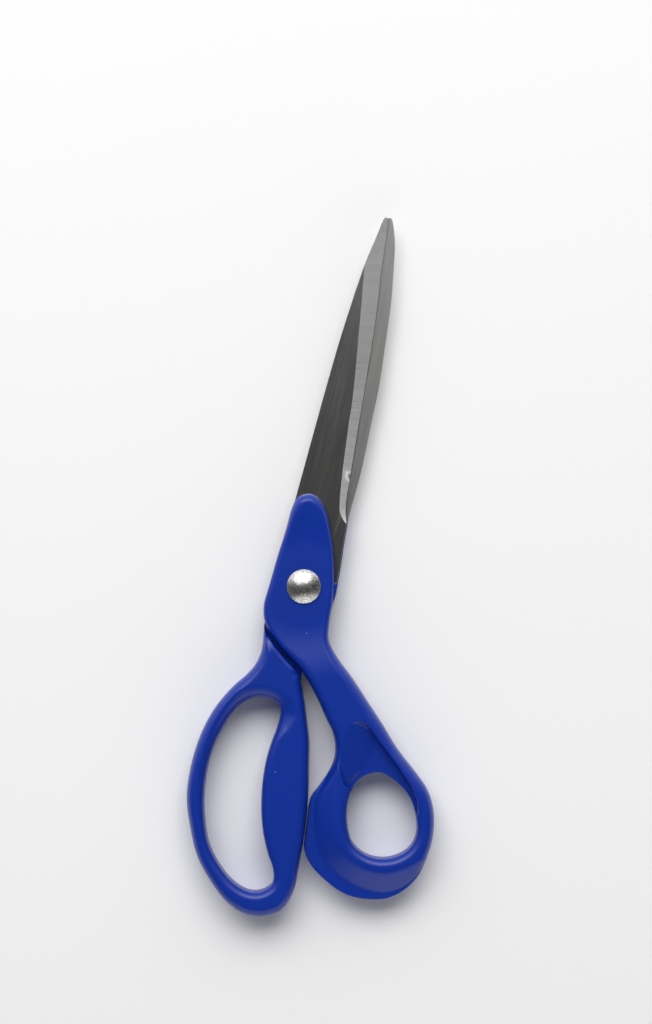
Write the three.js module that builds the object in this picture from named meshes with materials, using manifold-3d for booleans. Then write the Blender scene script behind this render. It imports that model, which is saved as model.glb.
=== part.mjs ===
// Office scissors, lying flat and closed: two steel blades with flat tangs, two moulded plastic
// handles with a thumb ring and a finger loop, and the domed rivet that both halves turn on.
// Millimetres. The origin is on the pivot axis in the plane that the scissors rest on. +Y runs
// along the closed blades to their tips, and +Z points up through the domed head of the rivet.

import * as THREE from 'three';
import { mergeVertices } from 'three/addons/utils/BufferGeometryUtils.js';
import Module from 'manifold-3d';

const manifold = await Module();
manifold.setup();

// Driving dimensions
const LOOP_THICKNESS = 12;        // both handles, from the table to the top of the loops
const BLADE_THICKNESS = 1.9;
const BLADE_GAP = 0.2;            // between the inner faces of the two blades
const EDGE_THICKNESS = 0.15;      // left at the cutting edge by the grinding
const STEEPEST_BEVEL = 0.75;      // slope of the bevel where it runs out at the heel
const COLLAR_COVER = 2.6;         // plastic on the outer face of a blade at the pivot
const SHOULDER_RISE = 0.6;        // of the ledge beside the collar over the blade's outer face
const HANDLE_ROUND = 2;           // rounding of the handles' long edges
const NECK_ANGLE = Math.PI / 3.4; // of each neck below the X axis
const RAMP_START = 13;            // where the neck starts to thicken, from the pivot axis
const RAMP_END = 27;              // and where it has the loops' full thickness
const POCKET_GAP = 0.3;           // between a tang and the plastic moulded round it
const SHANK_RADIUS = 2.5;
const SHANK_HOLE_RADIUS = 2.8;
const HEAD_RADIUS = 5.15;
const HEAD_RIM = 0.3;             // straight side under the dome
const HEAD_HEIGHT = 1.9;
const CAP_RADIUS = 5;
const CAP_THICKNESS = 1.2;
const CAP_CHAMFER = 0.5;
const CAP_FLOOR = 0.4;            // steel left under the cap's socket
const SEAT_GAP = 0.2;             // under the rivet's head and over its cap

// How finely the curves are divided
const EDGE_DIVISIONS = 40;        // facets along a ground edge
const OUTLINE_DIVISIONS = 4;      // facets from point to point of a blade's other outline
const HANDLE_DIVISIONS = 100;     // facets round a handle's outline
const HOLE_DIVISIONS = 48;        // and round its finger hole
const ROUND_DIVISIONS = 3;        // facets across a handle's rounded edge
const TURNED_DIVISIONS = 32;      // facets round the rivet, its cap and the holes for it
const DOME_DIVISIONS = 6;         // facets from the rim of the rivet's dome to its top

// Levels worked out from them
const MIDDLE = LOOP_THICKNESS / 2;
const FRONT_BLADE_BOTTOM = MIDDLE + BLADE_GAP / 2;
const FRONT_BLADE_TOP = FRONT_BLADE_BOTTOM + BLADE_THICKNESS;
const BACK_BLADE_TOP = MIDDLE - BLADE_GAP / 2;
const BACK_BLADE_BOTTOM = BACK_BLADE_TOP - BLADE_THICKNESS;
const FRONT_COLLAR_TOP = FRONT_BLADE_TOP + COLLAR_COVER;
const BACK_COLLAR_BOTTOM = BACK_BLADE_BOTTOM - COLLAR_COVER;

// A cutting tool runs past the face that it cuts by OVERRUN, past a blade's edge and tip by
// EDGE_OVERRUN, and on its open sides it reaches REACH, which is past the whole object.
const OVERRUN = 1;
const EDGE_OVERRUN = 5;
const REACH = 200;

// The front blade: its spine from the collar to the tip, then its ground edge from the tip to the
// heel, as x and y of the cutting edge and x of the bevel's inner limit, and then its flat tang.
const FRONT_SPINE = [[-8.5, 22], [-8.2, 29], [-7.6, 42], [-6.9, 57], [-6, 73], [-4.9, 86],
  [-3.5, 99.4], [-1.9, 108.5], [-1.2, 113], [-0.5, 114.6]];
const FRONT_EDGE = [[0.4, 114.5, -4.4], [0.8, 112, -4.2], [1.4, 105, -3.9], [1.9, 98, -3.3],
  [2.9, 89.5, -2.1], [4, 76, -0.3], [4.9, 61.5, 1.6], [5.7, 47, 2.9], [6.4, 35.5, 4],
  [6.8, 28.5, 4.9], [7.4, 24.6, 5.7], [8.1, 22.3, 7.3], [8.5, 21, 9]];
const FRONT_TANG = [[9.6, 3.3], [8.6, -2], [8.2, -8], [9.2, -15], [12.7, -21.5], [17.3, -27.5],
  [16.8, -30.5], [13.2, -29.8], [7.6, -23.5], [1, -18], [-4.2, -13.5], [-7.2, -8], [-8.3, 0],
  [-8.4, 10]];

// The back blade is the front blade's mirror image, set a little further over to its spine side.
const BACK_SPINE = [[8.6, 22], [8.8, 27], [9.3, 39], [9.1, 52], [8.9, 65], [8, 77], [7, 89],
  [5.8, 97.5], [4.5, 105.6], [3.5, 109.7], [2.1, 113.6], [1.3, 114.8]];
const BACK_EDGE = [[0.4, 114.6, 5.2], [0.4, 112, 5.5], [0.3, 105, 5.5], [0, 98, 5.2],
  [-0.6, 89.5, 4.4], [-1.8, 76, 2.4], [-2.8, 61.5, 0.6], [-4.2, 47, -1.3], [-5.2, 35.5, -2.7],
  [-6.2, 28.5, -4.3], [-7, 24.6, -5.4], [-7.9, 22.3, -7.1], [-8.5, 21, -9]];
const BACK_TANG = [[-9.6, 3.3], [-8.6, -2], [-7.4, -8], [-6, -16], [-5.6, -24], [-5.2, -29],
  [-2, -31.5], [1.2, -29], [2.2, -24], [3.6, -18], [5.8, -12], [7.6, -6], [8.3, 0], [8.4, 10]];

// The front handle: collar, neck and thumb ring, clockwise from the top of the collar.
const FRONT_HANDLE = [[-4.2, 27.9], [-0.9, 26.7], [2, 23.1], [4.4, 17.9], [6.6, 11.5], [8.4, 4.6],
  [9.5, -1.5], [9.8, -6], [10.1, -10.2], [11, -14.3], [14.6, -18.8], [20, -23.5], [26.3, -29.6],
  [32.5, -35.6], [38.5, -41.8], [45, -47.2], [50.2, -52], [53.2, -57.4], [54.8, -64.4],
  [54.5, -72], [52.2, -80], [46.4, -86.2], [39.8, -88.3], [33, -88.4], [25.6, -85.4], [20, -81.4],
  [17.5, -77.4], [16.9, -72], [16.3, -66.5], [16.1, -61.8], [18, -57.4], [20, -51.8],
  [20.3, -47.3], [18.6, -42], [15.3, -37.6], [10.5, -31.2], [4.7, -25.1], [-3.4, -19.4],
  [-9.1, -13.3], [-10.6, -8.4], [-10.3, -1.5], [-9.8, 7.5], [-9.1, 16], [-8.8, 22.4], [-7.7, 26]];
const THUMB_HOLE = [[34.2, -50.1], [39.6, -51.3], [45.3, -55.3], [48.6, -61.2], [49.6, -66.5],
  [48, -71], [43.3, -74.5], [37.4, -75.3], [31.9, -72.9], [28.6, -67], [27.5, -59.5],
  [29.1, -53.5]];
const FRONT_STEP = [[6.6, -27], [7, -22.7], [8.7, -18.5], [11, -14]];

// The back handle: collar, neck and finger loop, clockwise from the top of the collar.
const BACK_HANDLE = [[4.2, 27.9], [7.5, 26], [8.6, 22.4], [9, 17], [9.4, 11], [9.8, 4.5],
  [9.8, -1.5], [9.5, -7], [8.8, -13], [7.1, -18.4], [5.6, -22.5], [5.2, -27], [7.2, -32.3],
  [9.7, -38.9], [11.9, -45.2], [13.5, -52.5], [15, -60], [16, -67], [16.8, -75.2], [17.2, -83],
  [17.3, -91], [14.9, -97.2], [9.5, -100.4], [3.8, -100.7], [-2.3, -98.2], [-8.4, -93],
  [-13.7, -86.8], [-17.8, -78.4], [-20.7, -70], [-21.5, -60.5], [-20.8, -51.4], [-18.6, -42.8],
  [-14.8, -35.1], [-9.8, -27.8], [-8.3, -22.4], [-9, -15.1], [-9.6, -9], [-9.5, -1.5], [-8.4, 4.6],
  [-6.6, 11.5], [-4.4, 17.9], [-2, 23.1], [0.9, 26.7]];
const FINGER_HOLE = [[-4.9, -35.7], [-1.4, -35.9], [1.2, -38], [1.5, -42.5], [0.6, -49.5],
  [0.4, -56], [1.3, -64.5], [3.5, -73.4], [6.6, -80.5], [9.8, -86], [10.3, -90], [7.6, -92.8],
  [3.9, -93.6], [-1.2, -92], [-6.3, -88], [-10.8, -82.4], [-13.8, -75], [-15.8, -66],
  [-16.2, -57], [-14.8, -48.7], [-11.8, -40.8], [-8.4, -37.1]];
const BACK_STEP = [[-9.4, -14.7], [-7.4, -16.6], [-4.3, -19.6], [-0.5, -22.5], [3.5, -25.3],
  [5.6, -27]];

// The ledge beside each collar, where the plastic closes round the lower corner of the steel.
const SHOULDER = [[7.5, -6.5], [9.7, -6.2], [9.9, -2.6], [10.1, 0], [10, 3.2], [7.5, 3.2]];

// A manifold solid from a closed three.js geometry. Triangles that merging the vertices has
// closed up, as on the axis of a lathe, are dropped.
function solid(geometry) {
  geometry.deleteAttribute('normal');
  geometry.deleteAttribute('uv');
  const merged = mergeVertices(geometry, 1e-4);
  const corners = merged.index.array;
  const triangles = [];
  for (let i = 0; i < corners.length; i += 3) {
    const [a, b, c] = corners.slice(i, i + 3);
    if (a !== b && b !== c && c !== a) triangles.push(a, b, c);
  }
  return new manifold.Manifold(new manifold.Mesh({
    numProp: 3,
    vertProperties: new Float32Array(merged.attributes.position.array),
    triVerts: new Uint32Array(triangles),
  }));
}

// A named mesh from a manifold solid.
function part(name, body, material) {
  const mesh = body.getMesh();
  const geometry = new THREE.BufferGeometry();
  geometry.setAttribute('position', new THREE.BufferAttribute(mesh.vertProperties, 3));
  geometry.setIndex(new THREE.BufferAttribute(mesh.triVerts, 1));
  geometry.computeVertexNormals();
  const result = new THREE.Mesh(geometry, material);
  result.name = name;
  return result;
}

// A smooth closed curve through the given points, as points of its own.
function closedCurve(points, count) {
  const corners = points.map(([x, y]) => new THREE.Vector3(x, y, 0));
  const curve = new THREE.CatmullRomCurve3(corners, true, 'centripetal');
  return curve.getPoints(count).slice(0, count).map(({ x, y }) => new THREE.Vector2(x, y));
}

// A flat plate with its long edges rounded by the given radius, inside its outline.
function roundedPlate(shape, bottom, top, round) {
  const geometry = new THREE.ExtrudeGeometry(shape, {
    depth: top - bottom - 2 * round,
    bevelThickness: round,
    bevelSize: round,
    bevelOffset: -round,
    bevelSegments: ROUND_DIVISIONS,
  });
  geometry.translate(0, 0, bottom + round);
  return solid(geometry);
}

// A plate with square edges, or one that stands off by a gap on every side.
function plate(shape, bottom, top, gap = 0) {
  const geometry = new THREE.ExtrudeGeometry(shape, {
    depth: top - bottom,
    bevelEnabled: gap > 0,
    bevelThickness: gap,
    bevelSize: gap,
    bevelSegments: 1,
    curveSegments: OUTLINE_DIVISIONS,
  });
  geometry.translate(0, 0, bottom);
  return solid(geometry);
}

function cylinder(radius, bottom, top) {
  const geometry = new THREE.CylinderGeometry(radius, radius, top - bottom, TURNED_DIVISIONS);
  geometry.rotateX(Math.PI / 2);
  geometry.translate(0, 0, (top + bottom) / 2);
  return solid(geometry);
}

// The stations along a ground edge, as vectors of the edge's x and y and the bevel's x.
function groundEdge(points) {
  const corners = points.map((point) => new THREE.Vector3(...point));
  return new THREE.CatmullRomCurve3(corners, false, 'centripetal').getPoints(EDGE_DIVISIONS);
}

// The outline of a whole blade with its tang: a smooth spine, the ground edge, the straight side
// of the steel beside the collar, and the tang.
function bladeShape(spine, stations, tang) {
  const shape = new THREE.Shape();
  shape.moveTo(...spine[0]);
  shape.splineThru(spine.slice(1).map(([x, y]) => new THREE.Vector2(x, y)));
  for (const { x, y } of stations) shape.lineTo(x, y);
  shape.lineTo(...tang[0]);
  shape.splineThru(tang.slice(1).map(([x, y]) => new THREE.Vector2(x, y)));
  shape.closePath();
  return shape;
}

// The steel that grinding takes off outside the bevel, as four-sided sections at the stations of
// the cutting edge. side is +1 where the edge is on the +X side. The bevel faces away from inner.
function bevelCutter(edge, inner, outer, side) {
  const outward = Math.sign(outer - inner);
  const depth = BLADE_THICKNESS - EDGE_THICKNESS;
  const pastTip = edge[0].clone().add(new THREE.Vector3(0, EDGE_OVERRUN, 0));
  const stations = [pastTip, ...edge];
  const points = [];
  for (const { x, y, z: start } of stations) {
    const width = Math.abs(x - start);
    const slope = Math.min(depth / width, STEEPEST_BEVEL);
    const reach = width + EDGE_OVERRUN;
    const beyond = start + side * reach;
    points.push(start, y, outer, beyond, y, outer - outward * slope * reach);
    points.push(beyond, y, outer + outward * OVERRUN, start, y, outer + outward * OVERRUN);
  }
  const faces = [];
  for (let station = 0; station + 1 < stations.length; station++) {
    for (let corner = 0; corner < 4; corner++) {
      const a = 4 * station + corner;
      const b = 4 * station + (corner + 1) % 4;
      faces.push(a, b, a + 4, b, b + 4, a + 4);
    }
  }
  const last = 4 * (stations.length - 1);
  faces.push(0, 2, 1, 0, 3, 2);
  faces.push(last, last + 1, last + 2, last, last + 2, last + 3);
  const geometry = new THREE.BufferGeometry();
  geometry.setAttribute('position', new THREE.Float32BufferAttribute(points, 3));
  geometry.setIndex(faces);
  return solid(geometry);
}

// A blade from its outline: a flat stamping with a hole for the rivet, ground to a bevel.
function makeBlade(shape, edge, inner, outer, side) {
  const bottom = Math.min(inner, outer);
  const top = Math.max(inner, outer);
  return plate(shape, bottom, top)
    .subtract(cylinder(SHANK_HOLE_RADIUS, bottom - OVERRUN, top + OVERRUN))
    .subtract(bevelCutter(edge, inner, outer, side));
}

// Everything on the pivot's side of a step line, between two levels.
function pivotSide(step, bottom, top) {
  const [first, last] = [step[0], step[step.length - 1]];
  const shape = new THREE.Shape();
  shape.moveTo(Math.sign(first[0] - last[0]) * REACH, first[1]);
  for (const [x, y] of step) shape.lineTo(x, y);
  shape.lineTo(Math.sign(last[0] - first[0]) * REACH, last[1]);
  shape.lineTo(Math.sign(last[0] - first[0]) * REACH, REACH);
  shape.lineTo(Math.sign(first[0] - last[0]) * REACH, REACH);
  return plate(shape, bottom, top);
}

// The layer that a collar is thinner by than the loops, with a ramp from one to the other along
// the neck. side is +1 for a neck that leads to +X, and outward is +1 for the top layer.
function collarRelief(side, outward, face) {
  const level = (height) => MIDDLE + outward * (height - MIDDLE);
  const reliefBottom = MIDDLE + Math.abs(face - MIDDLE);
  const profile = new THREE.Shape();
  profile.moveTo(-REACH, level(reliefBottom));
  profile.lineTo(RAMP_START, level(reliefBottom));
  profile.lineTo(RAMP_END, level(LOOP_THICKNESS));
  profile.lineTo(RAMP_END, level(LOOP_THICKNESS + OVERRUN));
  profile.lineTo(-REACH, level(LOOP_THICKNESS + OVERRUN));
  const geometry = new THREE.ExtrudeGeometry(profile, { depth: REACH, bevelEnabled: false });
  geometry.translate(0, 0, -REACH / 2);
  geometry.rotateX(Math.PI / 2);
  geometry.rotateZ(side > 0 ? -NECK_ANGLE : NECK_ANGLE - Math.PI);
  return solid(geometry);
}

// A handle from its outline: one moulding with rounded edges and a finger hole, which takes only
// its own half of the thickness round the pivot, with a pocket for the tang moulded into it.
function makeHandle({ outline, hole, shoulder, step, tang, inner, outer, face, side }) {
  const outward = Math.sign(outer - inner);
  // The points are listed clockwise, and an outline runs the other way round from its hole.
  const shape = new THREE.Shape(closedCurve(outline, HANDLE_DIVISIONS).reverse());
  shape.holes.push(new THREE.Path(closedCurve(hole, HOLE_DIVISIONS)));
  const block = new THREE.Shape(shoulder.map(([x, y]) => new THREE.Vector2(x, y)));
  const farSide = outward > 0 ? -OVERRUN : LOOP_THICKNESS + OVERRUN;
  const ledge = outer + outward * SHOULDER_RISE;
  return roundedPlate(shape, 0, LOOP_THICKNESS, HANDLE_ROUND)
    .subtract(collarRelief(side, outward, face))
    .add(plate(block, Math.min(inner, ledge), Math.max(inner, ledge)))
    .subtract(pivotSide(step, Math.min(inner, farSide), Math.max(inner, farSide)))
    .subtract(plate(tang, Math.min(inner, outer), Math.max(inner, outer), POCKET_GAP))
    .subtract(cylinder(SHANK_HOLE_RADIUS, -OVERRUN, LOOP_THICKNESS + OVERRUN));
}

// A solid of revolution round the pivot axis, from its radius and height pairs.
function turned(profile) {
  const points = profile.map(([radius, height]) => new THREE.Vector2(radius, height));
  const geometry = new THREE.LatheGeometry(points, TURNED_DIVISIONS);
  geometry.rotateX(Math.PI / 2);
  return solid(geometry);
}

// The rivet: a domed head on the front collar, and its shank down into the cap.
function makeRivet() {
  const seat = FRONT_COLLAR_TOP + SEAT_GAP;
  const dome = [];
  for (let i = 0; i < DOME_DIVISIONS; i++) {
    const angle = (i / DOME_DIVISIONS) * Math.PI / 2;
    dome.push([HEAD_RADIUS * Math.cos(angle), seat + HEAD_RIM + HEAD_HEIGHT * Math.sin(angle)]);
  }
  const end = CAP_FLOOR + SEAT_GAP;
  return turned([[0, end], [SHANK_RADIUS, end], [SHANK_RADIUS, seat], [HEAD_RADIUS, seat], ...dome,
    [0, seat + HEAD_RIM + HEAD_HEIGHT]]);
}

// The cap under the back collar, with the socket that the shank is riveted into.
function makeCap() {
  return turned([[0, 0], [CAP_RADIUS - CAP_CHAMFER, 0], [CAP_RADIUS, CAP_CHAMFER],
    [CAP_RADIUS, CAP_THICKNESS],
    [SHANK_HOLE_RADIUS, CAP_THICKNESS], [SHANK_HOLE_RADIUS, CAP_FLOOR], [0, CAP_FLOOR]]);
}

const plastic = new THREE.MeshStandardMaterial({ color: 0x0c3294, roughness: 0.35 });
const bladeSteel = new THREE.MeshStandardMaterial({ color: 0x8c8c8b, roughness: 0.35, metalness: 1 });
const rivetSteel = new THREE.MeshStandardMaterial({ color: 0xb4b4b2, roughness: 0.3, metalness: 1 });

const frontEdge = groundEdge(FRONT_EDGE);
const frontShape = bladeShape(FRONT_SPINE, frontEdge, FRONT_TANG);
const frontBlade = makeBlade(frontShape, frontEdge, FRONT_BLADE_BOTTOM, FRONT_BLADE_TOP, 1);
const frontHandle = makeHandle({
  outline: FRONT_HANDLE,
  hole: THUMB_HOLE,
  shoulder: SHOULDER,
  step: FRONT_STEP,
  tang: frontShape,
  inner: FRONT_BLADE_BOTTOM,
  outer: FRONT_BLADE_TOP,
  face: FRONT_COLLAR_TOP,
  side: 1,
});

const backEdge = groundEdge(BACK_EDGE);
const backShape = bladeShape(BACK_SPINE, backEdge, BACK_TANG);
const backBlade = makeBlade(backShape, backEdge, BACK_BLADE_TOP, BACK_BLADE_BOTTOM, -1);
const backHandle = makeHandle({
  outline: BACK_HANDLE,
  hole: FINGER_HOLE,
  shoulder: SHOULDER.map(([x, y]) => [-x, y]),
  step: BACK_STEP,
  tang: backShape,
  inner: BACK_BLADE_TOP,
  outer: BACK_BLADE_BOTTOM,
  face: BACK_COLLAR_BOTTOM,
  side: -1,
});

const frontHalf = new THREE.Group();
frontHalf.add(
  part('front_blade', frontBlade, bladeSteel),
  part('front_handle', frontHandle, plastic),
);

const backHalf = new THREE.Group();
backHalf.add(
  part('back_blade', backBlade, bladeSteel),
  part('back_handle', backHandle, plastic),
  part('pivot_rivet', makeRivet(), rivetSteel),
  part('rivet_cap', makeCap(), rivetSteel),
);

const scissors = new THREE.Group();
scissors.add(backHalf, frontHalf);

export default scissors;
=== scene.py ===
# Office scissors, lying closed on a pale table: two steel blades, two moulded handles, and the
# rivet and cap that hold them together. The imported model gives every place. The scissors' sizes
# are in millimetres, and MM turns them into Blender's metres. The room's sizes are in metres.

import math

import bmesh
import bpy
import numpy as np
from mathutils import Matrix, Vector
from mathutils.geometry import delaunay_2d_cdt
from mathutils.kdtree import KDTree


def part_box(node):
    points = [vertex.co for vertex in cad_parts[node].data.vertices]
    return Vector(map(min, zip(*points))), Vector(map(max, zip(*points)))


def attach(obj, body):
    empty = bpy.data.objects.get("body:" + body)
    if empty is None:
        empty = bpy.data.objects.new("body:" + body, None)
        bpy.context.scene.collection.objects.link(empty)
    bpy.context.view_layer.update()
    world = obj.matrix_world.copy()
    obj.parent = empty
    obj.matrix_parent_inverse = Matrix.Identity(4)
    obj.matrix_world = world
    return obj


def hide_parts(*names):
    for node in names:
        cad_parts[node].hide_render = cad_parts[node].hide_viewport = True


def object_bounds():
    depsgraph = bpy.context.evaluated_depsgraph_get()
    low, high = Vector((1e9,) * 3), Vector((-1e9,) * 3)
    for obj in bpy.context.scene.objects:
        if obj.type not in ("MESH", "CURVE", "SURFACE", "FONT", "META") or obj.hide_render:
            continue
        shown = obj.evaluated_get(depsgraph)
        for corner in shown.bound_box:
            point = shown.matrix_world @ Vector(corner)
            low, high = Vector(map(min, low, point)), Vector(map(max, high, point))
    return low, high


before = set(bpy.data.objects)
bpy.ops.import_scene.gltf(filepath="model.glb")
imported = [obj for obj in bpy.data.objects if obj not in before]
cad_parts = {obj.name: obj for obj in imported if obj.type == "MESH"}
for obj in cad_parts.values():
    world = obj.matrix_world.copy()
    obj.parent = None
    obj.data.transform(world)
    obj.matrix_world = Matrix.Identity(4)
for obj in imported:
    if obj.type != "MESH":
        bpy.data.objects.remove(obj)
cad_low, cad_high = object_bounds()


# ---------------------------------------------------------------------------------------------
# The blades: two stampings of stainless sheet. The flats keep the fine lines of the polishing
# belt along the blade, one long edge is ground across to a bevel, and the faces that slide on
# each other are ground to a satin. Sharp corners are broken by tumbling. Each face's colour is
# set to how light falls on it: the flats' dark grey is painted shade, the bevel's near white is a
# painted highlight, and the inner faces' grey lies between them.

MM = 0.001
BLADE_BODIES = {"front_blade": "front_half", "back_blade": "back_half"}
SAME_POINT = 0.001         # points nearer than this are one
SAME_FLAT = math.radians(0.3)       # faces that turn less than this are one
SHARP_CORNER = math.radians(30)
CORNER_BREAK = 0.07        # on every corner but the cutting edge
EDGE_BAND = 0.6            # the cutting edge lies within this of the inner face
FLAT_FACE = 0.9995         # the normal's upright part is more than this where nothing was ground
SIDE_FACE = 0.5            # and less than this on the sides of the sheet
BLADE_CREASE = math.radians(12)


def add_node(tree, kind, sockets=None, **settings):
    """A node with its settings, and with values for some of its sockets."""
    made = tree.nodes.new(kind)
    for name, value in settings.items():
        setattr(made, name, value)
    for socket, value in (sockets or {}).items():
        made.inputs[socket].default_value = value
    return made


def new_group(name, inputs, outputs):
    """An empty node group with its input and output nodes."""
    tree = bpy.data.node_groups.new(name, "ShaderNodeTree")
    for socket, kind, value in inputs:
        made = tree.interface.new_socket(socket, in_out="INPUT", socket_type=kind)
        made.default_value = value
    for socket, kind in outputs:
        tree.interface.new_socket(socket, in_out="OUTPUT", socket_type=kind)
    return tree, tree.nodes.new("NodeGroupInput"), tree.nodes.new("NodeGroupOutput")


def place_group(tree, group, sockets):
    """A node group placed in a material with values of its own."""
    return add_node(tree, "ShaderNodeGroup", sockets, node_tree=group)


def new_material(name, sockets):
    """A material with its own shader, whose uniform values are set on the shader's sockets."""
    material = bpy.data.materials.new(name)
    material.use_nodes = True
    tree = material.node_tree
    tree.nodes.clear()
    shader = add_node(tree, "ShaderNodeBsdfPrincipled", sockets)
    output = tree.nodes.new("ShaderNodeOutputMaterial")
    tree.links.new(shader.outputs["BSDF"], output.inputs["Surface"])
    return material, tree, shader


def grinding_lines_group():
    """Straight scratches of a belt or wheel: a height, and a tone that changes from line to line.
    Line Scale says how fine they are each way, and Lean how far they slope from straight across."""
    tree, given, result = new_group(
        "grinding_lines",
        [
            ("Lean", "NodeSocketFloat", 0.0),
            ("Line Scale", "NodeSocketVector", (1000, 20, 1000)),
            ("Tone Spread", "NodeSocketFloat", 0.1),
        ],
        [("Height", "NodeSocketFloat"), ("Tone", "NodeSocketFloat")],
    )
    place = tree.nodes.new("ShaderNodeTexCoord")
    split = tree.nodes.new("ShaderNodeSeparateXYZ")
    leaned = add_node(tree, "ShaderNodeMath", operation="MULTIPLY")
    shifted = add_node(tree, "ShaderNodeMath", operation="SUBTRACT")
    joined = tree.nodes.new("ShaderNodeCombineXYZ")
    scaled = add_node(tree, "ShaderNodeVectorMath", operation="MULTIPLY")
    fine = add_node(tree, "ShaderNodeTexNoise", {"Scale": 1.0, "Detail": 3.0, "Roughness": 0.6})
    broad = add_node(tree, "ShaderNodeTexNoise", {"Scale": 0.21, "Detail": 2.0, "Roughness": 0.5})
    mixed = add_node(tree, "ShaderNodeMath", {1: 0.5}, operation="MULTIPLY_ADD")
    centred = add_node(tree, "ShaderNodeMath", {1: 0.75}, operation="SUBTRACT")
    spread = add_node(tree, "ShaderNodeMath", operation="MULTIPLY")
    tone = add_node(tree, "ShaderNodeMath", {1: 1.0}, operation="ADD")
    links = tree.links.new
    links(place.outputs["Object"], split.inputs[0])
    links(split.outputs["X"], leaned.inputs[0])
    links(given.outputs["Lean"], leaned.inputs[1])
    links(split.outputs["Y"], shifted.inputs[0])
    links(leaned.outputs[0], shifted.inputs[1])
    links(split.outputs["X"], joined.inputs["X"])
    links(shifted.outputs[0], joined.inputs["Y"])
    links(split.outputs["Z"], joined.inputs["Z"])
    links(joined.outputs[0], scaled.inputs[0])
    links(given.outputs["Line Scale"], scaled.inputs[1])
    links(scaled.outputs[0], fine.inputs["Vector"])
    links(scaled.outputs[0], broad.inputs["Vector"])
    links(broad.outputs["Fac"], mixed.inputs[0])
    links(fine.outputs["Fac"], mixed.inputs[2])
    links(mixed.outputs[0], result.inputs["Height"])
    links(mixed.outputs[0], centred.inputs[0])
    links(centred.outputs[0], spread.inputs[0])
    links(given.outputs["Tone Spread"], spread.inputs[1])
    links(spread.outputs[0], tone.inputs[0])
    links(tone.outputs[0], result.inputs["Tone"])
    return tree


def dust_group():
    """Specks of dust: a few small round spots, far apart, that lie on any finish."""
    tree, given, result = new_group(
        "dust",
        [
            ("Speck Scale", "NodeSocketFloat", 250.0),
            ("Speck Radius", "NodeSocketFloat", 0.05),
            ("Share", "NodeSocketFloat", 0.1),
        ],
        [("Mask", "NodeSocketFloat")],
    )
    place = tree.nodes.new("ShaderNodeTexCoord")
    cells = add_node(tree, "ShaderNodeTexVoronoi", {"Randomness": 1.0})
    small = add_node(tree, "ShaderNodeMath", operation="LESS_THAN")
    pick = tree.nodes.new("ShaderNodeSeparateColor")
    chosen = add_node(tree, "ShaderNodeMath", operation="LESS_THAN")
    both = add_node(tree, "ShaderNodeMath", operation="MULTIPLY")
    links = tree.links.new
    links(place.outputs["Object"], cells.inputs["Vector"])
    links(given.outputs["Speck Scale"], cells.inputs["Scale"])
    links(cells.outputs["Distance"], small.inputs[0])
    links(given.outputs["Speck Radius"], small.inputs[1])
    links(cells.outputs["Color"], pick.inputs[0])
    links(pick.outputs[0], chosen.inputs[0])
    links(given.outputs["Share"], chosen.inputs[1])
    links(small.outputs[0], both.inputs[0])
    links(chosen.outputs[0], both.inputs[1])
    links(both.outputs[0], result.inputs["Mask"])
    return tree


def blade_finish(name, colour, roughness, lean, line_scale, tone_spread, bump, stretch):
    """Ground stainless steel, with its lines and a little dust. Its highlights are stretched
    across the lines, along the blade's stretch direction."""
    material, tree, shader = new_material(name, {"Metallic": 1.0, "IOR": 2.5, "Anisotropic": 0.75})
    across = add_node(tree, "ShaderNodeCombineXYZ", {"X": stretch[0], "Y": stretch[1]})
    turned = add_node(tree, "ShaderNodeVectorTransform", vector_type="VECTOR",
                      convert_from="OBJECT", convert_to="WORLD")
    lines = place_group(tree, grinding_lines, {
        "Lean": lean, "Line Scale": line_scale, "Tone Spread": tone_spread,
    })
    dust = place_group(tree, dust_specks, {
        "Speck Scale": 330.0, "Speck Radius": 0.07, "Share": 0.12,
    })
    toned = add_node(tree, "ShaderNodeVectorMath", {0: colour}, operation="SCALE")
    dusted = add_node(tree, "ShaderNodeMix", {"B": (0.5, 0.5, 0.49, 1)}, data_type="RGBA")
    rough = add_node(tree, "ShaderNodeMath", {1: roughness}, operation="MULTIPLY")
    relief = add_node(tree, "ShaderNodeBump", {"Strength": 0.5, "Distance": bump * MM})
    links = tree.links.new
    links(across.outputs[0], turned.inputs[0])
    links(turned.outputs[0], shader.inputs["Tangent"])
    links(lines.outputs["Tone"], toned.inputs["Scale"])
    links(toned.outputs[0], dusted.inputs["A"])
    links(dust.outputs["Mask"], dusted.inputs["Factor"])
    links(dusted.outputs["Result"], shader.inputs["Base Color"])
    links(lines.outputs["Tone"], rough.inputs[0])
    links(rough.outputs[0], shader.inputs["Roughness"])
    links(lines.outputs["Height"], relief.inputs["Height"])
    links(relief.outputs["Normal"], shader.inputs["Normal"])
    return material


def on_cutting_edge(corner, inner):
    """Whether a corner of a blade is on its cutting edge: beside the bevel, near the inner face."""
    faces = {face for vertex in corner.verts for face in vertex.link_faces}
    beside_bevel = any(SIDE_FACE < abs(face.normal.z) < FLAT_FACE for face in faces)
    return beside_bevel and all(abs(v.co.z - inner) < EDGE_BAND * MM for v in corner.verts)


def finished_piece(name, mesh, finishes, crease):
    """An object from a built mesh, with its finishes, shaded smooth but for its creases."""
    made = bpy.data.meshes.new(name)
    mesh.to_mesh(made)
    mesh.free()
    for finish in finishes:
        made.materials.append(finish)
    made.shade_smooth()
    made.set_sharp_from_angle(angle=crease)
    piece = bpy.data.objects.new(name, made)
    bpy.context.collection.objects.link(piece)
    return piece


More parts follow.
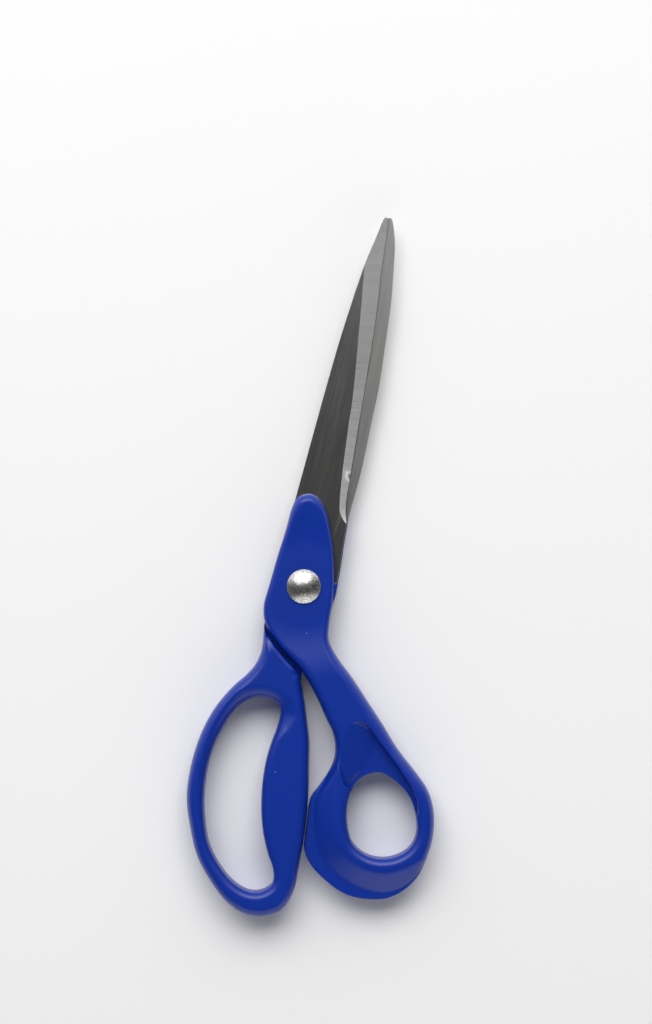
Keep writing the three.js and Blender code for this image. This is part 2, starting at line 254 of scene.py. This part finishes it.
def blade_piece(node, finishes):
    """A copy of a packed blade with broken corners, and with its flat, bevel and inner finishes."""
    low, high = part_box(node)
    outward = 1 if node == "front_blade" else -1
    inner = low.z if outward > 0 else high.z
    mesh = bmesh.new()
    mesh.from_mesh(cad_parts[node].data)
    bmesh.ops.remove_doubles(mesh, verts=mesh.verts, dist=SAME_POINT * MM)
    bmesh.ops.dissolve_limit(mesh, angle_limit=SAME_FLAT, verts=mesh.verts, edges=mesh.edges)
    corners = [e for e in mesh.edges if e.is_manifold and e.calc_face_angle() > SHARP_CORNER]
    corners = [e for e in corners if not on_cutting_edge(e, inner)]
    bmesh.ops.bevel(mesh, geom=corners, offset=CORNER_BREAK * MM, segments=2, profile=0.5,
                    affect="EDGES", clamp_overlap=False)
    piece = finished_piece(node + "_steel", mesh, finishes.values(), BLADE_CREASE)
    kinds = list(finishes)
    for face in piece.data.polygons:
        upright = face.normal.z * outward
        if SIDE_FACE < upright < FLAT_FACE:
            face.material_index = kinds.index("bevel")
        elif upright < -SIDE_FACE:
            face.material_index = kinds.index("inner")
    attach(piece, BLADE_BODIES[node])
    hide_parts(node)


grinding_lines = grinding_lines_group()
dust_specks = dust_group()
# One steel in three tones: the flat's dark colour is painted shade and the bevel's near-white colour
# is a painted highlight. The lines, roughness and dust are the finishes' own.
blade_finishes = {
    "flat": blade_finish(
        "blade_flat_painted_shade", colour=(0.38, 0.375, 0.37), roughness=0.33, lean=0.0,
        line_scale=(6000, 60, 6000), tone_spread=0.5, bump=0.02, stretch=(1, 0),
    ),
    "bevel": blade_finish(
        "blade_bevel_painted_highlight", colour=(0.97, 0.97, 0.96), roughness=0.4, lean=0.22,
        line_scale=(120, 8500, 120), tone_spread=0.4, bump=0.01, stretch=(0, 1),
    ),
    "inner": blade_finish(
        "blade_inner", colour=(0.45, 0.45, 0.44), roughness=0.5, lean=0.0,
        line_scale=(4000, 90, 4000), tone_spread=0.4, bump=0.02, stretch=(1, 0),
    ),
}
for blade in BLADE_BODIES:
    blade_piece(blade, blade_finishes)


# ---------------------------------------------------------------------------------------------
# The handles: injection-moulded plastic, moulded round the tangs. Each has a collar at the
# pivot, a neck, and a thumb ring or a long finger loop with moulded-in hollows for the fingers.
# Each is two skins that meet at the mould's parting line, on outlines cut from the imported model.

COLLAR_COVER = 2.6         # plastic on the outer face of a blade
LEDGE_RISE = 0.6           # of the small shoulder beside the collar over that face
LEDGE_CUT = 0.15           # and how far below its top its outline is taken
PARTING_LIFT = 0.15        # the parting line's distance from the plane between the halves
INNER_RECESS = -0.15       # of a collar's inner face at the pivot, behind the parting line
INNER_COVER = 0.1          # and of the plastic over the tang, in front of it
COVER_START = 8            # where the plastic closes over the tang, towards the loops
COVER_END = 10
NECK_START = 12            # where the neck starts to thicken, from the pivot axis
NECK_END = 28
STEP_BAND = (0.3, 2.5)     # how far in from the edge the thick part ends: at the grip, at the step

DRAFT = 0.12               # how far a wall leans in over its height
LOW_WALL = 0.8             # the most of a low wall that its rounded edge takes
COLLAR_FILLET = (1.3, 1.5) # across and down the edge of a collar
GRIP_FILLET = (2.5, 3.9)   # and of the ring and the loop
HOLE_FILLET = (2.2, 2.4)   # and of their finger holes
STEP_FILLET = (1.1, 1.6)   # and of the step where the other half's neck lies
LEDGE_FILLET = (0.35, 0.35)

ON_THE_CUT = 0.0001        # a point this near a cut's height is on it
STRAIGHT_WITHIN = 0.003    # a point this near its neighbours' line is no corner
SHARP_TURN = math.radians(35)
OUTLINE_SPACING = 0.5
ROWS = (0.12, 0.19, 0.3, 0.46, 0.66, 0.9, 1.18, 1.5, 1.88, 2.3, 2.75)    # in from an outline
FOOT_ROWS = (0.01,)        # at the foot of a raised part's wall
WALL_ROWS = (0.01, 0.2, 0.4, 0.6, 0.8)    # down the wall of a sunk part
ROW_SLACK = 0.01           # how much nearer than its row a point may come where rows crowd
GRID_SPACING = 0.8
CLEARANCE = 0.05           # between the points of a skin and its outlines
POINT_GAP = 0.06           # between one point and the next
SAME_PLACE = 0.00001       # what the triangles take as one point
RIM_GAP = 0.005            # what the two skins' rims may differ by
POINTS_AT_ONCE = 2000      # whose depths are worked out together, to save memory
HANDLE_CREASE = math.radians(60)

handle_low, handle_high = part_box("front_handle")
MIDDLE = (handle_low.z + handle_high.z) / 2 / MM
LOOP_RISE = (handle_high.z - handle_low.z) / 2 / MM
BLADE_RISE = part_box("front_blade")[1].z / MM - MIDDLE


def length_of(loop):
    """The length all round a closed outline."""
    return np.linalg.norm(np.roll(loop, -1, 0) - loop, axis=1).sum()


def section(node, height):
    """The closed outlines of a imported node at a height, the longest first, counter-clockwise."""
    cut = bmesh.new()
    cut.from_mesh(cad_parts[node].data)
    bmesh.ops.remove_doubles(cut, verts=cut.verts, dist=SAME_POINT * MM)
    found = bmesh.ops.bisect_plane(
        cut, geom=[*cut.verts, *cut.edges, *cut.faces], dist=ON_THE_CUT * MM,
        plane_co=(0, 0, height * MM), plane_no=(0, 0, 1),
    )
    cut.edges.index_update()
    rest = {e.index: e for e in found["geom_cut"] if isinstance(e, bmesh.types.BMEdge)}
    loops = []
    while rest:
        _, edge = rest.popitem()
        first, last = edge.verts
        loop = [first, last]
        while last is not first:
            edge = next(e for e in last.link_edges if e.index in rest)
            del rest[edge.index]
            last = edge.other_vert(last)
            loop.append(last)
        points = np.array([v.co[:2] for v in loop[:-1]]) / MM
        x, y = points.T
        turn = np.sum(x * np.roll(y, -1) - y * np.roll(x, -1))
        loops.append(points if turn > 0 else points[::-1])
    cut.free()
    return sorted(loops, key=lambda points: -length_of(points))


def corners_of(loop):
    """A loop without the points that lie on a straight line between their neighbours."""
    before = np.roll(loop, 1, 0) - loop
    after = np.roll(loop, -1, 0) - loop
    base = np.linalg.norm(after - before, axis=1)
    height = np.abs(before[:, 0] * after[:, 1] - before[:, 1] * after[:, 0]) / np.maximum(base, 1e-9)
    return loop[height > STRAIGHT_WITHIN]


def smooth_outline(loop):
    """A closed outline curved through its corners, except where it turns sharply."""
    corners = corners_of(loop)
    step = np.roll(corners, -1, 0) - corners
    length = np.linalg.norm(step, axis=1)[:, None]
    ahead = step / length
    behind = np.roll(ahead, 1, 0)
    before = np.roll(length, 1, 0)
    tangent = (behind * length + ahead * before) / (length + before)
    sharp = (ahead * behind).sum(1) < math.cos(SHARP_TURN)
    curve = []
    for i, start in enumerate(corners):
        j = (i + 1) % len(corners)
        leave = length[i] * (ahead[i] if sharp[i] else tangent[i])
        arrive = length[i] * (ahead[i] if sharp[j] else tangent[j])
        count = max(1, round(length[i, 0] / OUTLINE_SPACING))
        t = np.arange(count)[:, None] / count
        curve.append(start + (3 * t**2 - 2 * t**3) * step[i]
                     + (t - 2 * t**2 + t**3) * leave + (t**3 - t**2) * arrive)
    return np.vstack(curve)


def depth_inside(points, loop):
    """How far inside a closed outline each point is, negative outside it."""
    step = np.roll(loop, -1, 0) - loop
    square = (step**2).sum(1)
    slope = step[:, 0] / np.where(step[:, 1] == 0, 1, step[:, 1])
    depths = []
    for part in np.array_split(points, len(points) // POINTS_AT_ONCE + 1):
        offset = part[:, None] - loop
        along = np.clip((offset * step).sum(2) / square, 0, 1)
        gap = np.linalg.norm(offset - along[..., None] * step, axis=2).min(1)
        crosses = (offset[..., 1] >= 0) != (offset[..., 1] >= step[:, 1])
        crosses &= offset[..., 0] < offset[..., 1] * slope
        depths.append(np.where(crosses.sum(1) % 2 == 1, gap, -gap))
    return np.concatenate(depths)


def rows_beside(loop, side, offsets, kept=slice(None)):
    """Rows of points at each offset inside a loop, or outside it for side -1. kept picks the
    points of the loop that have them."""
    ahead = np.roll(loop, -1, 0) - np.roll(loop, 1, 0)
    normal = np.stack([-ahead[:, 1], ahead[:, 0]], 1) / np.linalg.norm(ahead, axis=1)[:, None]
    rows = []
    for offset in offsets:
        row = (loop + side * offset * normal)[kept]
        rows.append(row[side * depth_inside(row, loop) > offset - ROW_SLACK])
    return np.vstack(rows)


def grid_over(outline, spacing):
    """A grid of equal triangles' corners over an outline's box."""
    low, high = outline.min(0), outline.max(0)
    rise = spacing * math.sin(math.pi / 3)
    rows = []
    for i, y in enumerate(np.arange(low[1], high[1], rise)):
        x = np.arange(low[0] + (i % 2) * spacing / 2, high[0], spacing)
        rows.append(np.stack([x, np.full(len(x), y)], 1))
    return np.vstack(rows)


def without_doubles(points, keep_first):
    """Points that are at least a little apart, where the first ones all stay."""
    tree = KDTree(len(points))
    for i, (x, y) in enumerate(points):
        tree.insert((x, y, 0), i)
    tree.balance()
    dropped = set()
    for i in range(keep_first, len(points)):
        x, y = points[i]
        near = tree.find_range((x, y, 0), POINT_GAP)
        if any(j < i and j not in dropped for _, j, _ in near):
            dropped.add(i)
    return np.array([p for i, p in enumerate(points) if i not in dropped])


def skin_points(outline, holes, terrace, hollow):
    """The points of a skin: its boundary's first, then rows beside each outline, and a grid."""
    apart = depth_inside(terrace, outline) > CLEARANCE
    free = [rows_beside(outline, 1, ROWS)]
    free += [rows_beside(hole, -1, ROWS) for hole in holes]
    free += [rows_beside(terrace, 1, ROWS, apart), rows_beside(terrace, -1, FOOT_ROWS, apart)]
    clear = ROWS[-1] + GRID_SPACING / 2
    near = GRID_SPACING / 3
    grid = grid_over(outline, GRID_SPACING)
    keep = depth_inside(grid, outline) > clear
    for hole in holes:
        keep &= depth_inside(grid, hole) < -clear
    depth = depth_inside(grid, terrace)
    keep &= (depth > clear) | (depth < -near)
    if hollow is not None:
        free.append(rows_beside(hollow, 1, WALL_ROWS))
        depth = depth_inside(grid, hollow)
        keep &= (depth > WALL_ROWS[-1] + near) | (depth < -near)
    free = np.vstack([*free, grid[keep]])
    inside = depth_inside(free, outline) > CLEARANCE
    for hole in holes:
        inside &= depth_inside(free, hole) < -CLEARANCE
    boundary = np.vstack([outline, *holes])
    return without_doubles(np.vstack([boundary, free[inside]]), len(boundary))


def skin(outline, holes, terrace, hollow, height_at):
    """The triangles of one skin over an outline with holes, and each point's place and height.

    A terrace is the outline of a raised part inside the skin, and a hollow that of a sunk one."""
    edges = []
    count = 0
    for loop in (outline, *holes):
        edges += [(count + i, count + (i + 1) % len(loop)) for i in range(len(loop))]
        count += len(loop)
    points = skin_points(outline, holes, terrace, hollow)
    made = delaunay_2d_cdt([Vector(p) for p in points], edges, [], 0, SAME_PLACE)
    places = np.array([v[:] for v in made[0]])
    faces = np.array(made[2])
    rim = np.array([any(i < count for i in source) for source in made[3]])
    doubtful = rim[faces].all(1)
    centres = places[faces[doubtful]].mean(1)
    outside = np.zeros(len(faces), bool)
    outside[doubtful] = depth_inside(centres, outline) < 0
    for hole in holes:
        outside[doubtful] |= depth_inside(centres, hole) > 0
    heights = height_at(places)
    heights[rim] = 0
    return places, heights, faces[~outside]


def joined_skins(skins, parting):
    """The closed mesh of two skins that meet at the parting line, each with the side it is on."""
    mesh = bmesh.new()
    for (places, heights, faces), side in skins:
        verts = [mesh.verts.new((x * MM, y * MM, (parting + side * h) * MM))
                 for (x, y), h in zip(places, heights)]
        turned = faces if side > 0 else faces[:, [0, 2, 1]]
        for corners in turned:
            mesh.faces.new([verts[i] for i in corners])
    rims = [v for v in mesh.verts if v.is_boundary]
    bmesh.ops.remove_doubles(mesh, verts=rims, dist=RIM_GAP * MM)
    loose = [v for v in mesh.verts if not v.link_faces]
    bmesh.ops.delete(mesh, geom=loose, context="VERTS")
    bmesh.ops.recalc_face_normals(mesh, faces=mesh.faces)
    return mesh


def smoothstep(low, high, value):
    """A smooth rise from 0 at a low value to 1 at a high one."""
    t = np.clip((value - low) / (high - low), 0, 1)
    return t * t * (3 - 2 * t)


def between(start, end, share):
    """The fillet that lies a share of the way from one fillet to another."""
    return [a + (b - a) * share for a, b in zip(start, end)]


def wall_share(depth, level, across, down):
    """The share of a level that a wall and its rounded edge reach at a depth from the outline."""
    down = np.minimum(down, LOW_WALL * level)
    t = np.clip((depth - DRAFT) / across, 0, 1)
    rounded = 1 - down / level * (1 - np.sqrt(1 - (1 - t) ** 2))
    return np.where(depth < DRAFT, (1 - down / level) * np.clip(depth, 0, DRAFT) / DRAFT, rounded)


def handle_piece(name, node, up, body, top_fall, hollow=None):
    """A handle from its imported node. up is 1 if its collar lies over the blades, -1 if under.
    top_fall says how far the top of its grip lies below the full height, and hollow is the
    outline of a part of that top which has a wall round it."""
    ledge_cut = MIDDLE + up * (BLADE_RISE + LEDGE_RISE - LEDGE_CUT)
    outline, hole, shank_hole = [smooth_outline(loop) for loop in section(node, ledge_cut)][:3]
    main = smooth_outline(section(node, MIDDLE + up * LOOP_RISE / 2)[0])
    thick = smooth_outline(section(node, MIDDLE - up * LOOP_RISE / 2)[0])

    def tall_height(places, depth, level, fillet):
        at_hole = wall_share(-depth_inside(places, hole), level, *HOLE_FILLET)
        return level * wall_share(depth, level, *fillet) * at_hole

    def outer_height(places):
        grip = smoothstep(NECK_START, NECK_END, np.linalg.norm(places, axis=1))
        collar = BLADE_RISE + COLLAR_COVER
        level = collar + (LOOP_RISE - collar) * grip - PARTING_LIFT
        if up > 0:
            level = level - top_fall(places)
        depth = depth_inside(places, main)
        tall = tall_height(places, depth, level, between(COLLAR_FILLET, GRIP_FILLET, grip))
        ledge_level = BLADE_RISE + LEDGE_RISE - PARTING_LIFT
        ledge = ledge_level * wall_share(depth_inside(places, outline), ledge_level, *LEDGE_FILLET)
        return np.where(depth > 0, np.maximum(tall, ledge), ledge)

    def inner_height(places):
        level = np.full(len(places), LOOP_RISE + PARTING_LIFT)
        if up < 0:
            level = level - top_fall(places)
        depth = depth_inside(places, thick)
        at_step = smoothstep(*STEP_BAND, depth_inside(places, outline) - depth)
        tall = tall_height(places, depth, level, between(GRIP_FILLET, STEP_FILLET, at_step))
        covered = smoothstep(COVER_START, COVER_END, -places[:, 1])
        return np.where(depth > 0, tall, INNER_RECESS + (INNER_COVER - INNER_RECESS) * covered)

    holes = [hole, shank_hole]
    skins = [
        (skin(outline, holes, main, hollow if up > 0 else None, outer_height), up),
        (skin(outline, holes, thick, hollow if up < 0 else None, inner_height), -up),
    ]
    mesh = joined_skins(skins, MIDDLE + up * PARTING_LIFT)
    piece = finished_piece(name, mesh, [handle_plastic], HANDLE_CREASE)
    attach(piece, body)
    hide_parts(node)


def moulded_plastic():
    """Satin blue moulding, with a fine grain, slightly uneven colour and a few specks of dust."""
    material, tree, shader = new_material("handle_plastic", {"IOR": 1.46})
    place = tree.nodes.new("ShaderNodeTexCoord")
    cloud = add_node(tree, "ShaderNodeTexNoise", {"Scale": 60.0, "Detail": 3.0})
    grain = add_node(tree, "ShaderNodeTexNoise", {"Scale": 2600.0, "Detail": 2.0})
    tone = add_node(tree, "ShaderNodeMapRange", {"To Min": 0.93, "To Max": 1.07})
    colour = add_node(tree, "ShaderNodeVectorMath", {0: (0.0015, 0.027, 0.30)}, operation="SCALE")
    dust = place_group(tree, dust_specks, {"Speck Scale": 260.0, "Speck Radius": 0.05, "Share": 0.1})
    dusted = add_node(tree, "ShaderNodeMix", {"B": (0.2, 0.3, 0.6, 1)}, data_type="RGBA")
    rough = add_node(tree, "ShaderNodeMapRange", {"To Min": 0.3, "To Max": 0.38})
    relief = add_node(tree, "ShaderNodeBump", {"Strength": 0.35, "Distance": 0.02 * MM})
    links = tree.links.new
    links(place.outputs["Object"], cloud.inputs["Vector"])
    links(place.outputs["Object"], grain.inputs["Vector"])
    links(cloud.outputs["Fac"], tone.inputs["Value"])
    links(tone.outputs[0], colour.inputs["Scale"])
    links(colour.outputs[0], dusted.inputs["A"])
    links(dust.outputs["Mask"], dusted.inputs["Factor"])
    links(dusted.outputs["Result"], shader.inputs["Base Color"])
    links(grain.outputs["Fac"], rough.inputs["Value"])
    links(rough.outputs[0], shader.inputs["Roughness"])
    links(grain.outputs["Fac"], relief.inputs["Height"])
    links(relief.outputs["Normal"], shader.inputs["Normal"])
    return material


def bent_down(distance, slope, softness):
    """How far a surface that bends down at a crest has fallen at a distance beyond it."""
    return slope * (np.hypot(np.maximum(distance, 0), softness) - softness)


# The scoop's outline, from its rounded end at the neck down its wall into the hole and back.
thumb_scoop = smooth_outline(np.array([
    (25.2, -36), (23, -36.6), (21.2, -39), (20.8, -44), (21.8, -50), (25, -56), (33, -60), (44, -60),
    (49.2, -60), (47.6, -55.2), (45.4, -52.2), (41, -47.8), (36.2, -43.5), (31.5, -39.4),
    (29.2, -37.3), (27.2, -36.2),
]))
SCOOP_START = np.array([22.9, -36])
SCOOP_DIRECTION = (0.985, -0.17)
SCOOP_SLOPE = 0.4
SCOOP_REACH = 12.0
SCOOP_SOFTNESS = 0.5

# The part of the ring and its neck that the crest bounds, and that the skirt falls away from.
ring_plateau = smooth_outline(np.array([
    (-40, 60), (-40, -34), (14.2, -38.4), (18.5, -42.4), (21.3, -46.6), (22.7, -50.9), (23.2, -55.1),
    (23.7, -61), (24.9, -67), (26.6, -71.7), (29.3, -75), (32.9, -77.2), (37.4, -78.6), (42.5, -78.6),
    (47, -76.6), (51, -73.6), (58, -70), (80, -60), (80, 60),
]))
SKIRT_SLOPE = 0.56
SKIRT_REACH = 8.5
SKIRT_SOFTNESS = 0.7

# The hollow of the finger loop: its crest, and then a way back through the hole.
loop_crest = smooth_outline(np.array([
    (2, -48), (5.5, -42.5), (6.6, -38.6), (5.4, -35.5), (2.5, -33.2), (-2.4, -31.8), (-8.3, -32.6),
    (-13.6, -36), (-16.9, -41.8), (-18.9, -49.8), (-19, -58.3), (-18, -66.4), (-15.2, -76),
    (-11.5, -83), (-7, -88), (0, -80), (0, -60),
]))
HOLLOW_SLOPE = 0.38
HOLLOW_REACH = 5.0
HOLLOW_SOFTNESS = 0.4


def ring_fall(places):
    """The fall of the thumb ring's top: a flat scoop that leads the thumb in from the neck, with
    a low wall on its outer side, and a skirt round the crest on the ring's inner side."""
    down_scoop = np.minimum((places - SCOOP_START) @ SCOOP_DIRECTION, SCOOP_REACH)
    wall = smoothstep(0, WALL_ROWS[-1], depth_inside(places, thumb_scoop))
    scoop = bent_down(down_scoop, SCOOP_SLOPE, SCOOP_SOFTNESS) * wall
    beyond_crest = np.minimum(-depth_inside(places, ring_plateau), SKIRT_REACH)
    return scoop + bent_down(beyond_crest, SKIRT_SLOPE, SKIRT_SOFTNESS)


def loop_fall(places):
    """The fall of the finger loop's top: a slope into the hole from a crest round its top and
    left side."""
    down_hollow = np.minimum(depth_inside(places, loop_crest), HOLLOW_REACH)
    return bent_down(down_hollow, HOLLOW_SLOPE, HOLLOW_SOFTNESS)


handle_plastic = moulded_plastic()
handle_piece("thumb_handle", "front_handle", 1, "front_half", ring_fall, thumb_scoop)
handle_piece("finger_handle", "back_handle", -1, "back_half", loop_fall)


# ---------------------------------------------------------------------------------------------
# The rivet and its cap: a satin domed head on a turned shank, riveted into a pressed steel cap
# under the back collar. Both are turned, and tumbled to a fine speckle.

TURNED_FACETS = 96
TURNED_CREASE = math.radians(40)
DOME_SLOPE = 38            # degrees, of the dome where it meets its rim
DOME_POINTS = 24
RIM_ROUND = 0.25           # the dome ends this far in from the rim,
RIM_DROP = 0.2             # and this far over the rim's upper corner
RIM_CHAMFER = 0.15         # under the head
HEAD_LIFT = 0.2            # between the collar and the head
SHANK_RADIUS = 2.5
SHANK_CHAMFER = 0.3
CAP_ROUND = 0.6            # of its lower edge
CAP_EDGE = 0.15            # and of its upper one
SOCKET_RADIUS = 2.8
SOCKET_FLOOR = 0.4


def arc(centre, radius, start, end, count):
    """Points along an arc, by their angles from the outward direction in degrees."""
    angles = np.radians(np.linspace(start, end, count))
    return [(centre[0] + radius * math.cos(a), centre[1] + radius * math.sin(a)) for a in angles]


def tumbled_steel():
    """Bright steel with the speckle of tumbling."""
    material, tree, shader = new_material("rivet_steel", {"Metallic": 1.0, "IOR": 2.5})
    place = tree.nodes.new("ShaderNodeTexCoord")
    speckle = add_node(tree, "ShaderNodeTexNoise", {"Scale": 2000.0, "Detail": 3.0, "Roughness": 0.6})
    tone = add_node(tree, "ShaderNodeMapRange", {
        "From Min": 0.36, "From Max": 0.64, "To Min": 0.28, "To Max": 0.74,
    })
    colour = add_node(tree, "ShaderNodeVectorMath", {0: (1.0, 0.995, 0.98)}, operation="SCALE")
    rough = add_node(tree, "ShaderNodeMapRange", {"To Min": 0.25, "To Max": 0.37})
    relief = add_node(tree, "ShaderNodeBump", {"Strength": 1.0, "Distance": 0.035 * MM})
    links = tree.links.new
    links(place.outputs["Object"], speckle.inputs["Vector"])
    links(speckle.outputs["Fac"], tone.inputs["Value"])
    links(tone.outputs[0], colour.inputs["Scale"])
    links(colour.outputs[0], shader.inputs["Base Color"])
    links(speckle.outputs["Fac"], rough.inputs["Value"])
    links(rough.outputs[0], shader.inputs["Roughness"])
    links(speckle.outputs["Fac"], relief.inputs["Height"])
    links(relief.outputs["Normal"], shader.inputs["Normal"])
    return material


def turned_piece(name, profile, node):
    """A turned piece from its radius and height pairs, from one end of its axis to the other."""
    mesh = bmesh.new()
    line = [mesh.verts.new((radius * MM, 0, height * MM)) for radius, height in profile]
    edges = [mesh.edges.new(pair) for pair in zip(line, line[1:])]
    bmesh.ops.spin(mesh, geom=[*line, *edges], angle=2 * math.pi, steps=TURNED_FACETS,
                   axis=(0, 0, 1), cent=(0, 0, 0), use_merge=True)
    bmesh.ops.remove_doubles(mesh, verts=mesh.verts, dist=SAME_POINT * MM)
    bmesh.ops.recalc_face_normals(mesh, faces=mesh.faces)
    piece = finished_piece(name, mesh, [rivet_finish], TURNED_CREASE)
    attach(piece, "back_half")
    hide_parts(node)


rivet_finish = tumbled_steel()

rivet_low, rivet_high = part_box("pivot_rivet")
shank_end = rivet_low.z / MM
head_radius = rivet_high.x / MM
head_seat = MIDDLE + BLADE_RISE + COLLAR_COVER + HEAD_LIFT
dome_radius = (head_radius - RIM_ROUND) / math.sin(math.radians(DOME_SLOPE))
dome_centre = rivet_high.z / MM - dome_radius
dome_edge = dome_centre + dome_radius * math.cos(math.radians(DOME_SLOPE))
turned_piece("domed_rivet", [
    (0, shank_end),
    (SHANK_RADIUS - SHANK_CHAMFER, shank_end),
    (SHANK_RADIUS, shank_end + SHANK_CHAMFER),
    (SHANK_RADIUS, head_seat),
    (head_radius - RIM_CHAMFER, head_seat),
    (head_radius, head_seat + RIM_CHAMFER),
    (head_radius, dome_edge - RIM_DROP),
    *arc((0, dome_centre), dome_radius, 90 - DOME_SLOPE, 90, DOME_POINTS),
], "pivot_rivet")

cap_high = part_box("rivet_cap")[1]
cap_radius = cap_high.x / MM
cap_height = cap_high.z / MM
turned_piece("riveted_cap", [
    (0, 0),
    *arc((cap_radius - CAP_ROUND, CAP_ROUND), CAP_ROUND, -90, 0, 8),
    *arc((cap_radius - CAP_EDGE, cap_height - CAP_EDGE), CAP_EDGE, 0, 90, 4),
    (SOCKET_RADIUS, cap_height),
    (SOCKET_RADIUS, SOCKET_FLOOR),
    (0, SOCKET_FLOOR),
], "rivet_cap")


# ---------------------------------------------------------------------------------------------
# The table, the light and the camera: a pale matt table in a white room, whose walls beyond the
# tips and beyond the loops are lit, and whose ceiling is dark.

PICTURE_TILT = math.radians(12.7)    # of the blades in the picture
PICTURE_HEIGHT = 0.3108              # of the table that the picture takes in
PICTURE_CENTRE = Vector((0.0016, 0.0234))
CAMERA_DISTANCE = 1.0
SENSOR = 36.0                        # millimetres, as Blender gives it
TABLE_SIZE = 6.0
LIGHT_TURN = Matrix.Rotation(math.radians(8), 3, "Z")

# How bright the room is, by how far a direction leans towards the lit wall beyond the tips.
ROOM_BANDS = [
    (-1, 1.25), (-0.76, 1.25), (-0.58, 0.06), (0, 0.03), (0.28, 0.06), (0.55, 1.1), (1, 1.1),
]
HAZE = 0.2                           # more light near the horizon, from all round
HAZE_TOP = 0.7                       # how far up it reaches


def matt_white():
    """Pale matt paper, very slightly uneven."""
    material, tree, shader = new_material("table_finish", {"Roughness": 0.9, "IOR": 1.3})
    place = tree.nodes.new("ShaderNodeTexCoord")
    cloud = add_node(tree, "ShaderNodeTexNoise", {"Scale": 3.0, "Detail": 2.0})
    tone = add_node(tree, "ShaderNodeMapRange", {"To Min": 0.9, "To Max": 0.92})
    links = tree.links.new
    links(place.outputs["Object"], cloud.inputs["Vector"])
    links(cloud.outputs["Fac"], tone.inputs["Value"])
    links(tone.outputs[0], shader.inputs["Base Color"])
    return material


def soft_box(name, direction, elevation, distance, width, height, power):
    """A soft box that faces the pivot, in a direction over the table."""
    lamp = bpy.data.lights.new(name, "AREA")
    lamp.shape = "RECTANGLE"
    lamp.size = width
    lamp.size_y = height
    lamp.energy = power
    box = bpy.data.objects.new(name, lamp)
    rise = math.radians(elevation)
    towards = direction * math.cos(rise) + Vector((0, 0, math.sin(rise)))
    box.location = Vector((middle.x, middle.y, 0)) + towards * distance
    box.rotation_euler = towards.to_track_quat("Z", "Y").to_euler()
    bpy.context.collection.objects.link(box)


def lit_room(towards_wall):
    """The light from the room itself: its bands of wall and ceiling, and the haze."""
    room = bpy.data.worlds.new("room")
    room.use_nodes = True
    tree = room.node_tree
    place = tree.nodes.new("ShaderNodeTexCoord")
    lean = add_node(tree, "ShaderNodeVectorMath", {1: towards_wall}, operation="DOT_PRODUCT")
    share = add_node(tree, "ShaderNodeMapRange", {"From Min": -1.0, "From Max": 1.0})
    bands = tree.nodes.new("ShaderNodeValToRGB")
    for i, (leaning, brightness) in enumerate(ROOM_BANDS):
        stop = bands.color_ramp.elements[i] if i < 2 else bands.color_ramp.elements.new(1.0)
        stop.position = (leaning + 1) / 2
        stop.color = (brightness, brightness, brightness, 1)
    split = tree.nodes.new("ShaderNodeSeparateXYZ")
    haze = add_node(tree, "ShaderNodeMapRange", {
        "From Max": HAZE_TOP, "To Min": HAZE, "To Max": 0.0,
    })
    light = add_node(tree, "ShaderNodeMath", operation="ADD")
    links = tree.links.new
    links(place.outputs["Generated"], lean.inputs[0])
    links(lean.outputs["Value"], share.inputs["Value"])
    links(share.outputs[0], bands.inputs["Fac"])
    links(place.outputs["Generated"], split.inputs[0])
    links(split.outputs["Z"], haze.inputs["Value"])
    links(bands.outputs["Color"], light.inputs[0])
    links(haze.outputs[0], light.inputs[1])
    links(light.outputs[0], tree.nodes["Background"].inputs["Color"])
    return room


middle = (cad_low + cad_high) / 2
bpy.ops.mesh.primitive_plane_add(size=TABLE_SIZE, location=(middle.x, middle.y, 0))
table = bpy.context.object
table.name = "table"
table.data.materials.append(matt_white())

picture_up = Vector((-math.sin(PICTURE_TILT), math.cos(PICTURE_TILT), 0))
beyond_tips = LIGHT_TURN @ picture_up
soft_box("box_beyond_tips", beyond_tips, elevation=52, distance=1.4, width=1.5, height=0.9, power=16)
bpy.context.scene.world = lit_room(beyond_tips)
bpy.context.scene.view_settings.view_transform = "Standard"

lens = bpy.data.cameras.new("camera")
lens.sensor_width = SENSOR
lens.lens = SENSOR * CAMERA_DISTANCE / PICTURE_HEIGHT
camera = bpy.data.objects.new("camera", lens)
camera.location = (PICTURE_CENTRE.x, PICTURE_CENTRE.y, MIDDLE * MM + CAMERA_DISTANCE)
camera.rotation_euler = (0, 0, PICTURE_TILT)
bpy.context.collection.objects.link(camera)
bpy.context.scene.camera = camera
